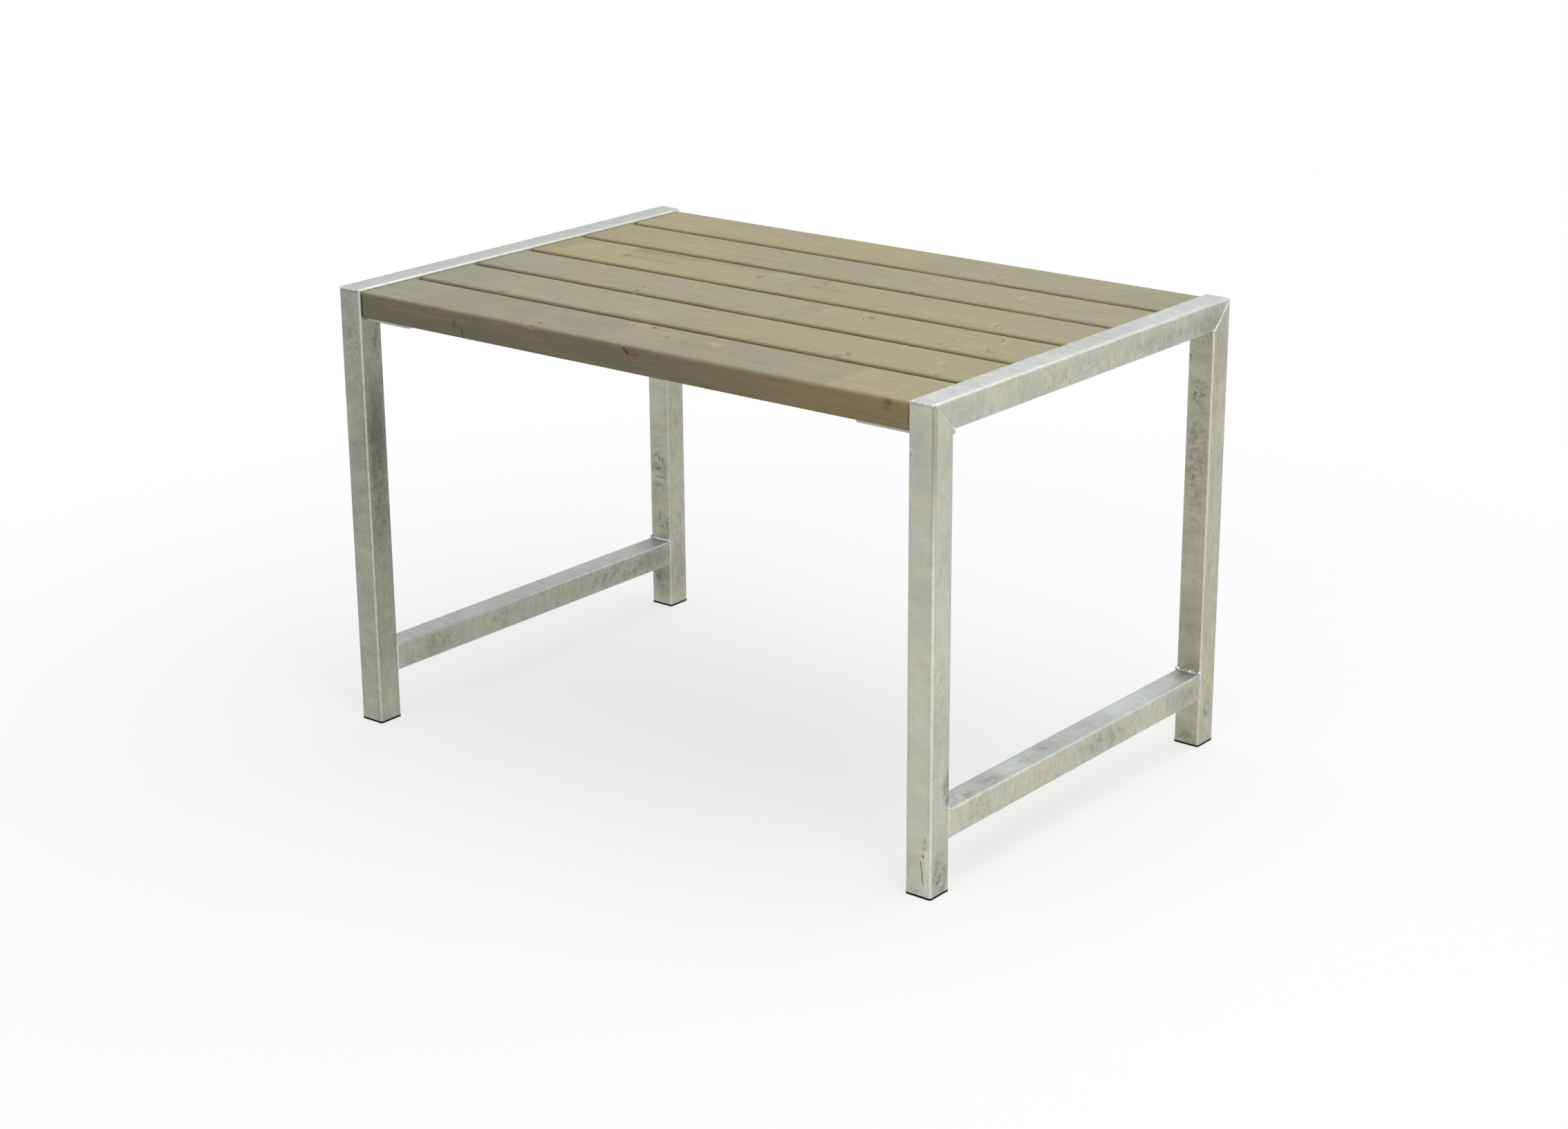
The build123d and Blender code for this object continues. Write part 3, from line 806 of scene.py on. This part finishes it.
def plank_section(width, height, spacing):
    """Points round a plank's rounded section with their outward normals, as (y, z, ny, nz, on a corner)."""
    arcs = []
    for y, z, radius, first in ((width - BOTTOM_RADIUS, BOTTOM_RADIUS, BOTTOM_RADIUS, -90),
                                (width - TOP_RADIUS, height - TOP_RADIUS, TOP_RADIUS, 0),
                                (TOP_RADIUS, height - TOP_RADIUS, TOP_RADIUS, 90),
                                (BOTTOM_RADIUS, BOTTOM_RADIUS, BOTTOM_RADIUS, 180)):
        arc = []
        for step in range(ARC_STEPS + 1):
            angle = math.radians(first + 90 * step / ARC_STEPS)
            ny = math.cos(angle)
            nz = math.sin(angle)
            arc.append((y + radius * ny, z + radius * nz, ny, nz, True))
        arcs.append(arc)
    points = []
    for arc, following in zip(arcs, arcs[1:] + arcs[:1]):
        points += arc
        y, z, ny, nz, _ = arc[-1]
        run_y = following[0][0] - y
        run_z = following[0][1] - z
        count = max(2, round(math.hypot(run_y, run_z) / spacing))
        for step in range(1, count):
            points.append((y + run_y * step / count, z + run_z * step / count, ny, nz, False))
    return points


# Hollows torn or worn in the front plank's front face: (x, height, half length, half height, depth) in mm.
FACE_HOLLOWS = [(30, 719, 9, 4.5, 1.6), (42, 720.5, 13, 2.6, 0.9), (-319, 701, 8, 6, 0.5),
                (-307.5, 697, 2, 7, 0.7), (180, 687.5, 6, 2, 1.0), (-97, 688, 3, 2, 0.9),
                (-41, 688, 2.5, 2, 0.9), (236, 689, 3, 3, 0.9), (497, 723, 4, 4, 0.35),
                (-172, 726, 8, 4, 0.4)]
# Nicks in the top front edges: (plank, x, half length, depth) in mm.
EDGE_NICKS = [(1, -166, 7, 1.1), (2, -358, 9, 0.7), (2, 304, 6, 0.8), (2, 480, 5, 0.7), (2, 230, 3, 0.6),
              (3, -193, 5, 1.0), (3, 384, 5, 0.6), (5, 153, 4, 0.8), (5, 289, 4, 0.6), (6, 213, 4, 1.1)]


def plank_wear(number, x, y, z, ny, nz, corner):
    """How far inwards the sawn surface lies at one point, in metres."""
    def waves(along, across, seed):
        return noise.noise((x * along + number * seed, y * across, z * across)) * 0.5 + 0.5

    deep = SURFACE_WAVE * waves(9.0, 30.0, 3.7)
    if corner:
        uneven = CORNER_FINE * waves(55.0, 60.0, 3.7) + CORNER_COARSE * waves(14.0, 20.0, 7.4)
        deep += uneven * abs(ny * nz) * 2.0
        if ny < -0.1 and nz > 0.1:
            for nicked, centre, half, depth in EDGE_NICKS:
                if nicked == number:
                    off = abs(x / MM - centre) / half
                    deep += max(0.0, 1.0 - off * off) * depth * MM * min(1.0, -2.0 * ny * nz)
    if number == 1 and ny < -0.5:
        for centre, level, half, tall, depth in FACE_HOLLOWS:
            off = math.hypot((x / MM - centre) / half, (z / MM - level) / tall)
            if off < 1.0:
                torn = 0.75 + 0.5 * noise.noise((x * 400.0, 0.0, z * 700.0))
                deep += (1.0 - off ** 3) * depth * MM * torn
    return deep


def add_plank_mesh(mesh_builder, number, low, high):
    """A worn plank between two corners of its box, closed at its ends by rings that shrink to a centre."""
    spacing = FRONT_SPACING if number == 1 else SPACING
    section = plank_section(high.y - low.y, high.z - low.z, spacing)
    length = high.x - low.x - 2 * END_CHAMFER
    count = round(length / (spacing * STATION_SHARE))
    stations = [(low.x + END_CHAMFER + length * step / count, 0.0) for step in range(count + 1)]
    rings = []
    for x, inset in [(low.x, END_CHAMFER), *stations, (high.x, END_CHAMFER)]:
        ring = []
        for across, up, ny, nz, corner in section:
            y = low.y + across
            z = low.z + up
            deep = inset + plank_wear(number, x, y, z, ny, nz, corner)
            ring.append(mesh_builder.verts.new((x, y - ny * deep, z - nz * deep)))
        rings.append(ring)
    join_rings(mesh_builder, rings)
    middle_y = (low.y + high.y) / 2
    middle_z = (low.z + high.z) / 2
    for outer, x in ((rings[0], low.x), (rings[-1], high.x)):
        cap = [outer]
        for share in CAP_SHARES:
            ring = []
            for vertex in outer:
                y = middle_y + (vertex.co.y - middle_y) * (0.35 + 0.65 * share)
                z = middle_z + (vertex.co.z - middle_z) * share
                ring.append(mesh_builder.verts.new((x, y, z)))
            cap.append(ring)
        join_rings(mesh_builder, cap)
        centre = mesh_builder.verts.new((x, middle_y, middle_z))
        for i, vertex in enumerate(cap[-1]):
            mesh_builder.faces.new((cap[-1][i - 1], vertex, centre))


def build_plank(plank):
    low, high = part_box(plank.node)
    mesh_builder = bmesh.new()
    add_plank_mesh(mesh_builder, plank.number, low, high)
    bmesh.ops.recalc_face_normals(mesh_builder, faces=mesh_builder.faces)
    board = add_object(mesh_builder, f"{plank.node}_board")
    mesh = board.data
    mesh.shade_smooth()
    mesh.set_sharp_from_angle(angle=math.radians(SHARP_ANGLE))
    mesh.materials.append(wood_material(plank))
    if plank.face_marks:
        mesh.materials.append(wood_material(plank, face_only=True))
        for face in mesh.polygons:
            face.material_index = int(face.normal.y < FRONT_FACING)
    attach(board, "root")
    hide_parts(plank.node)


# Welds. All their points and sizes are millimetres.
BEAD_SIDES = 12
# The end frames' outer and inner faces, half depth and top, and the lower rails' end, underside and top.
OUTER = 580.0
INNER = 535.0
HALF_DEPTH = 388.0
TOP = 732.0
RAIL_END = 343.6
RAIL_LOW = 81.0
RAIL_TOP = 126.0
# The middles of the stitches that hold a support bar to its top rail, and their height.
STITCHES = (-270, -135, 0, 135, 270)
STITCH_HEIGHT = 685.6


def add_bead(mesh_builder, start, end, out, radius, seed, wander=0.35, end_radius=None, rough_share=0.22,
             flat=0.62):
    """A rippled, uneven weld bead from start to end, standing out of the steel along out."""
    end_radius = end_radius or radius
    start = Vector(start)
    out = Vector(out).normalized()
    run = Vector(end) - start
    length = run.length
    ahead = run / length
    aside = ahead.cross(out)
    count = max(6, round(length / 0.7))
    rings = []
    for step in range(count + 1):
        s = length * step / count
        here = radius + (end_radius - radius) * s / length
        taper = min(1.0, math.sqrt(max(0.0, min(s, length - s)) / (here * 1.2)) + 0.15)
        ripple = 1.0 + 0.13 * math.sin(s * 3.1 + 2.0 * noise.noise((s * 0.3, seed, 1.0)))
        swell = 1.0 + 0.38 * noise.noise((s * 0.16, seed, 0.0))
        lumps = here * taper * ripple * swell
        centre = start + ahead * s + aside * (wander * here * noise.noise((s * 0.22, seed, 5.0)))
        ring = []
        for side in range(BEAD_SIDES):
            angle = 2 * math.pi * side / BEAD_SIDES
            reach = lumps * (1.0 + rough_share * noise.noise((s * 0.9, angle * 1.3, seed)))
            offset = aside * (math.cos(angle) * reach) + out * (math.sin(angle) * reach * flat)
            ring.append(mesh_builder.verts.new((centre + offset) * MM))
        rings.append(ring)
    join_rings(mesh_builder, rings)
    mesh_builder.faces.new(rings[0])
    mesh_builder.faces.new(list(reversed(rings[-1])))


def add_droplets(mesh_builder, start, end, out, count, spread, dice):
    """Spatter beside a bead: flattened lumps of 0.35 to 0.9 mm."""
    start = Vector(start)
    run = Vector(end) - start
    out = Vector(out).normalized()
    aside = run.normalized().cross(out)
    for _ in range(count):
        centre = start + run * dice.random() + aside * dice.gauss(0.0, spread)
        size = dice.uniform(0.35, 0.9)
        made = bmesh.ops.create_icosphere(mesh_builder, subdivisions=2, radius=size * MM)
        for vertex in made["verts"]:
            lump = 1.0 + 0.3 * noise.noise(vertex.co * 900.0 + centre)
            flat = vertex.co - out * vertex.co.dot(out) * 0.45
            vertex.co = flat * lump + centre * MM


def add_lump(mesh_builder, centre, radius, seed):
    """A frozen blob of weld metal or zinc."""
    made = bmesh.ops.create_icosphere(mesh_builder, subdivisions=3, radius=radius * MM)
    for vertex in made["verts"]:
        push = 1.0 + 0.42 * noise.noise(vertex.co.normalized() * 1.6 + Vector((seed, 0.0, seed)))
        vertex.co = vertex.co * push + Vector(centre) * MM


def add_leg_welds(mesh_builder, dice, side, end):
    """The welds between one leg and its rails. side is -1 at the left, and end is -1 at the front."""
    def at(out, away, up):
        return out * side, away * end, up

    def mitre(out, down):
        """A point on the mitre's line, this far below and within the frame's corner."""
        return at(out, HALF_DEPTH - down, TOP - down)

    def across(inset, away, up):
        """The ends of a line from the tube's inner face to its outer face, this far in from both."""
        return at(INNER + inset, away, up), at(OUTER - inset, away, up)

    def bead(*line, **shape):
        add_bead(mesh_builder, *line, dice.random() * 50, **shape)

    def lump(centre, radius):
        add_lump(mesh_builder, centre, radius, dice.random() * 50)

    def droplets(*spread):
        add_droplets(mesh_builder, *spread, dice)

    outwards = at(1, 0, 0)
    inwards = at(-1, 0, 0)
    if end > 0:
        bead(mitre(OUTER, 1.6), mitre(OUTER, 44.5), outwards, 1.3, end_radius=2.5, rough_share=0.4)
        droplets(mitre(OUTER, 14), mitre(OUTER, 42), outwards, 14, 4.0)
    else:
        bead(mitre(OUTER, 1.6), mitre(OUTER, 44.5), outwards, 0.8, end_radius=1.2, rough_share=0.15,
             flat=0.18)
        droplets(mitre(OUTER, 14), mitre(OUTER, 42), outwards, 3, 2.0)
    bead(mitre(INNER, 1.6), mitre(INNER, 44.5), inwards, 0.9)
    crown_size, crown_rough = (2.2, 0.3) if side < 0 else (1.3, 0.12)
    bead(mitre(INNER + 3, 1.4), mitre(OUTER - 2, 1.4), at(0, 1, 1), crown_size, wander=0.45,
         rough_share=crown_rough)
    lump(at(OUTER - 4.5, HALF_DEPTH - 1.8, TOP - 2.4), 2.5)
    bead(*across(3, HALF_DEPTH - 44.6, TOP - 44.6), at(0, -1, -1), 2.6)
    lump(at(OUTER - 1.2, 342.2, 688.6), 2.7)
    lump(at(OUTER - 1.2, 341.2, 683.0), 2.1)
    bead(*across(1, RAIL_END - 0.9, RAIL_TOP + 0.4), at(0, -1, 1), 3.9, wander=0.7, rough_share=0.5)
    bead(*across(2, RAIL_END - 0.8, RAIL_LOW - 0.2), at(0, -1, -1), 2.2)
    for face, way in ((OUTER, 1), (INNER, -1)):
        sunk = face - 1.2 * way
        bead(at(sunk, RAIL_END, RAIL_LOW + 1), at(sunk, RAIL_END, RAIL_TOP), at(way, 0, 0), 2.7,
             rough_share=0.14)
        lump(at(face - 2.6 * way, RAIL_END - 1.4, RAIL_TOP + 1.2), 3.8)
        droplets(at(face, RAIL_END, RAIL_LOW + 1), at(face, RAIL_END, RAIL_TOP), at(way, 0, 0), 3, 3.0)
    droplets(*across(6, RAIL_END - 3, RAIL_TOP), at(0, 0, 1), 5, 2.5)
    bead(at(INNER, 345.0, 681.0), at(INNER, 377.0, 681.0), at(-1, 0, -1), 2.4)


def build_welds(name, side, material):
    """All the welds of one end frame: mitres, lower rail ends and the stitches that hold the support bar."""
    dice = random.Random(5 if side < 0 else 9)
    mesh_builder = bmesh.new()
    for end in (-1, 1):
        add_leg_welds(mesh_builder, dice, side, end)
    for middle in STITCHES:
        start, end = (((INNER + 0.8) * side, middle + half, STITCH_HEIGHT) for half in (-20, 20))
        add_bead(mesh_builder, start, end, (0.3 * side, 0, -1), 2.4, dice.random() * 50)
    bmesh.ops.recalc_face_normals(mesh_builder, faces=mesh_builder.faces)
    welds = add_object(mesh_builder, name)
    welds.data.shade_smooth()
    welds.data.materials.append(material)
    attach(welds, "root")


# Stage and light. Lamps are given by their place, aim, size, watts and colour.
FILL_STRENGTH = 0.42
FLOOR_RADIUS = 40.0


def seen_rays(nodes):
    """1 for rays that show something to the camera, directly, in a reflection or through glass."""
    rays = nodes.add("LightPath").outputs
    seen = nodes.larger(rays["Is Camera Ray"], rays["Is Glossy Ray"])
    return nodes.larger(seen, rays["Is Transmission Ray"])


def add_floor():
    """A pale floor that is white to the camera away from the table and keeps the table's soft shadow."""
    mesh_builder = bmesh.new()
    bmesh.ops.create_circle(mesh_builder, cap_ends=True, cap_tris=True, segments=96, radius=FLOOR_RADIUS)
    floor = add_object(mesh_builder, "floor")
    nodes = Surface("pale_floor")
    seen = seen_rays(nodes)
    level = nodes.stack(nodes.stack(0.5, (seen, 0.42)), (nodes.noise(nodes.place, 3.0, 3.0), 0.02))
    body = nodes.add("BsdfDiffuse", {"Color": nodes.join(level, level, level)})
    glow = nodes.add("Emission", {"Color": WHITE, "Strength": 1.0})
    far = nodes.step(nodes.vector("LENGTH", nodes.place), 0.8, 2.0, 0.70, 1.0)
    mixed = nodes.add("MixShader", {0: nodes.times(seen, far), 1: body.outputs[0], 2: glow.outputs[0]})
    nodes.add("OutputMaterial", {"Surface": mixed.outputs[0]})
    floor.data.materials.append(nodes.material)


def add_world():
    """White where it is seen, directly or in a reflection, and a plain soft fill everywhere else."""
    world = bpy.data.worlds.new("studio")
    world.use_nodes = True
    world.node_tree.nodes.clear()
    nodes = Nodes(world.node_tree)
    fill = nodes.add("Background", {"Color": (0.96, 0.98, 1.0, 1.0), "Strength": FILL_STRENGTH})
    white = nodes.add("Background", {"Color": WHITE, "Strength": 1.0})
    mixed = nodes.add("MixShader", {0: seen_rays(nodes), 1: fill.outputs[0], 2: white.outputs[0]})
    nodes.add("OutputWorld", {"Surface": mixed.outputs[0]})
    scene.world = world


def add_softbox(name, place, target, size, power, colour):
    data = bpy.data.lights.new(name, "AREA")
    data.shape = "RECTANGLE"
    data.size, data.size_y = size
    data.energy = power
    data.color = colour
    lamp = bpy.data.objects.new(name, data)
    scene.collection.objects.link(lamp)
    lamp.location = place
    lamp.rotation_euler = (Vector(target) - Vector(place)).to_track_quat("-Z", "Y").to_euler()


add_camera()
add_world()
add_floor()
add_softbox("overhead", (0.5, 0.3, 3.4), (0.1, 0.0, 0.7), (3.8, 3.2), 85.0, (1.0, 0.99, 0.97))
add_softbox("right_front", (3.4, -2.0, 1.5), (0.3, 0.0, 0.5), (1.4, 1.8), 42.0, (1.0, 0.97, 0.90))

# The tubes and bars keep their shapes and take the zinc.
STEEL = {
    # Its low tone is painted shade: this leg stands darker than the right front leg, which faces the same
    # way.
    "left_front_leg": Steel(
        tone=0.645, clouds=1.1, tint=(0.99, 1.0, 0.975), sandy=1.7,
        shades=[((-535, -366, 500), (12, 30, 110), 0.54), ((-535, -366, 350), (12, 30, 90), 0.26),
            ((-535, -366, 190), (12, 30, 60), -0.08), ((-556, -388, 430), (30, 8, 130), 0.10),
            ((-556, -366, 40), (40, 40, 90), -0.40)],
        stains=[((-535, -366, 440), (10, 24, 150), 0.75), ((-535, -360, 645), (8, 7, 34), 0.9),
            ((-556, -388, 640), (20, 6, 70), 0.45)],
        chips=[((-535, -366, 672), (4, 18, 12), 0.9), ((-557, -388, 724), (22, 4, 5), 0.8)],
        scratches=[((-558, -388, 722), (-559, -388, 640), 0.3, 0.35)],
        seams=[("Y", -388, "Z", 727.6, 0.5, 0.5)]),
    "left_rear_leg": Steel(
        tone=0.90, tint=(1.0, 0.99, 0.96),
        shades=[((-556, 343, 60), (30, 10, 50), 0.44), ((-535, 366, 60), (10, 30, 60), 0.22),
            ((-535, 366, 350), (10, 30, 70), 0.10), ((-556, 343, 190), (30, 10, 60), 0.06),
            ((-556, 343, 430), (30, 10, 120), -0.05)],
        stains=[((-552, 343, 165), (20, 8, 22), 0.9), ((-558, 343, 256), (20, 8, 60), 0.9),
            ((-564, 343, 58), (8, 8, 26), 0.9), ((-535, 366, 130), (8, 20, 60), 0.4)]),
    "right_front_leg": Steel(
        tone=0.97, clouds=0.65, painted_dark_corner=(1, -1, 560), edge=0.75,
        shades=[((556, -388, 660), (30, 8, 110), 0.10), ((556, -388, 280), (30, 8, 150), -0.13),
            ((580, -366, 380), (8, 30, 110), -0.16), ((580, -366, 650), (8, 30, 70), 0.07),
            ((580, -366, 50), (8, 30, 60), 0.18), ((574, -388, 56), (7, 6, 60), -0.22),
            ((580, -349, 163), (8, 10, 24), 0.30)],
        stains=[((580, -350, 160), (8, 12, 34), 1.0), ((580, -366, 30), (8, 22, 40), 0.8),
            ((570, -388, 84), (5, 6, 14), 0.8), ((580, -372, 300), (8, 16, 120), 0.25)],
        chips=[((537, -388, 690), (5, 5, 40), 0.5), ((545, -388, 660), (10, 5, 10), 0.7),
            ((556, -388, 728), (20, 4, 3), 0.8), ((574, -388, 726), (7, 4, 4), 1.0),
            ((556, -388, 8), (22, 4, 8), 0.9), ((580, -366, 8), (4, 20, 7), 0.7),
            ((576, -388, 90), (4, 4, 60), 0.4)],
        scratches=[((562, -388, 58), (567, -388, 22), 0.7, 1.0),
            ((566, -388, 67), (567, -388, 65), 1.4, 0.9), ((580, -384, 728), (580, -345, 689), 0.7, 0.8)],
        seams=[("X", 580, "Y", -352, 0.4, 0.2), ("Y", -388, "Z", 728.0, 0.4, 0.45)]),
    "right_rear_leg": Steel(
        tone=0.86, tint=(1.0, 0.98, 0.93),
        shades=[((556, 343, 200), (30, 10, 70), 0.26), ((580, 366, 420), (8, 30, 200), -0.05),
            ((580, 366, 650), (8, 30, 50), 0.12), ((556, 343, 350), (30, 10, 60), 0.06),
            ((556, 343, 14), (34, 10, 40), 0.14), ((556, 343, 500), (34, 10, 110), 0.05)],
        stains=[((556, 343, 480), (24, 8, 130), 0.6), ((556, 343, 590), (18, 8, 22), 0.9),
            ((580, 366, 104), (6, 10, 40), 0.4), ((580, 366, 60), (8, 16, 20), 0.7),
            ((556, 343, 16), (26, 8, 20), 0.5)],
        chips=[((541, 343, 655), (6, 5, 24), 1.0), ((562, 343, 668), (14, 5, 15), 1.0),
            ((556, 343, 9), (22, 5, 8), 0.9), ((580, 366, 8), (5, 20, 6), 0.6),
            ((560, 343, 684), (20, 5, 4), 1.0), ((580, 362, 540), (5, 10, 100), 0.5)],
        scratches=[((580, 362, 92), (580, 366, 64), 0.4, 0.6), ((580, 368, 86), (580, 375, 83), 0.35, 0.45)],
        seams=[("X", 580, "Y", 356, 0.5, 0.4)]),
    "left_top_rail": Steel(
        tone=0.90, top=0.84, along="Y", clouds=0.5, bands=[("Z", 732, "X", -543, 6.0, 0.12)], edge=0.35),
    "right_top_rail": Steel(
        tone=0.96, top=0.84, along="Y", clouds=0.8, bands=[("Z", 732, "X", 574, 4.0, 0.15)], edge=0.55,
        shades=[((580, 330, 705), (8, 90, 30), 0.28), ((580, -320, 705), (8, 70, 30), 0.12),
            ((580, 200, 705), (8, 80, 30), 0.13), ((556, 0, 732), (30, 120, 8), 0.10),
            ((556, -360, 732), (30, 80, 8), -0.04)],
        stains=[((580, -60, 705), (6, 130, 20), 0.35), ((580, 200, 705), (6, 130, 16), 0.3),
            ((580, 330, 700), (6, 40, 20), 0.4)], seams=[("Z", 732, "X", 570, 0.4, 0.2)]),
    "left_lower_rail": Steel(
        tone=0.86, along="Y",
        shades=[((-535, 300, 104), (10, 70, 30), 0.34), ((-535, 120, 104), (10, 90, 30), 0.14),
            ((-556, 320, 126), (30, 60, 8), 0.30)],
        stains=[((-535, -250, 104), (6, 60, 24), 0.4), ((-535, -90, 100), (6, 50, 20), 0.35),
            ((-535, 210, 104), (6, 90, 24), 0.6)], sandy=1.3),
    "right_lower_rail": Steel(
        along="Y", clouds=0.9, tint=(1.0, 0.99, 0.98), painted_top_tint=(0.93, 0.98, 1.13),
        shades=[((580, 300, 104), (10, 80, 30), 0.34), ((580, 60, 104), (10, 150, 30), 0.12),
            ((556, -150, 126), (30, 70, 8), -0.30), ((556, -300, 126), (30, 60, 8), -0.36),
            ((556, 160, 126), (30, 80, 8), -0.22), ((556, 336, 126), (30, 34, 8), 0.40),
            ((548, 300, 126), (18, 60, 8), 0.04), ((561, -122, 126), (10, 18, 6), 0.20),
            ((556, -72, 126), (10, 14, 6), 0.18), ((561, -34, 126), (8, 12, 6), 0.14),
            ((562, -205, 126), (10, 16, 6), 0.14)],
        stains=[((580, -265, 104), (6, 40, 22), 0.4), ((580, 60, 104), (6, 90, 20), 0.4),
            ((562, -288, 126), (20, 40, 8), 0.55), ((560, -215, 126), (16, 24, 8), 0.45),
            ((562, -120, 126), (16, 26, 8), 0.5), ((556, -62, 126), (14, 18, 8), 0.45),
            ((560, 40, 126), (18, 22, 8), 0.4), ((562, 190, 126), (16, 40, 8), 0.4)],
        seams=[("Z", 126, "X", 571, 0.5, 0.15)]),
    "left_plank_support": Steel(tone=0.9, along="Y"),
    "right_plank_support": Steel(tone=0.9, along="Y"),
}


def dress(node, material):
    """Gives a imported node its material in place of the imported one."""
    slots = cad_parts[node].material_slots
    if not slots:
        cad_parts[node].data.materials.append(material)
    for slot in slots:
        slot.material = material


for seed, (node, steel) in enumerate(STEEL.items()):
    dress(node, steel_material(node, steel, seed + 1.0))
weld = weld_material()
screws = screw_material()
plastic = plastic_material()
for side in ("left", "right"):
    dress(f"{side}_plank_screws", screws)
    for end in ("front", "rear"):
        dress(f"{side}_{end}_foot_plug", plastic)
for plank in PLANKS:
    build_plank(plank)
build_welds("left_frame_welds", -1, weld)
build_welds("right_frame_welds", 1, weld)
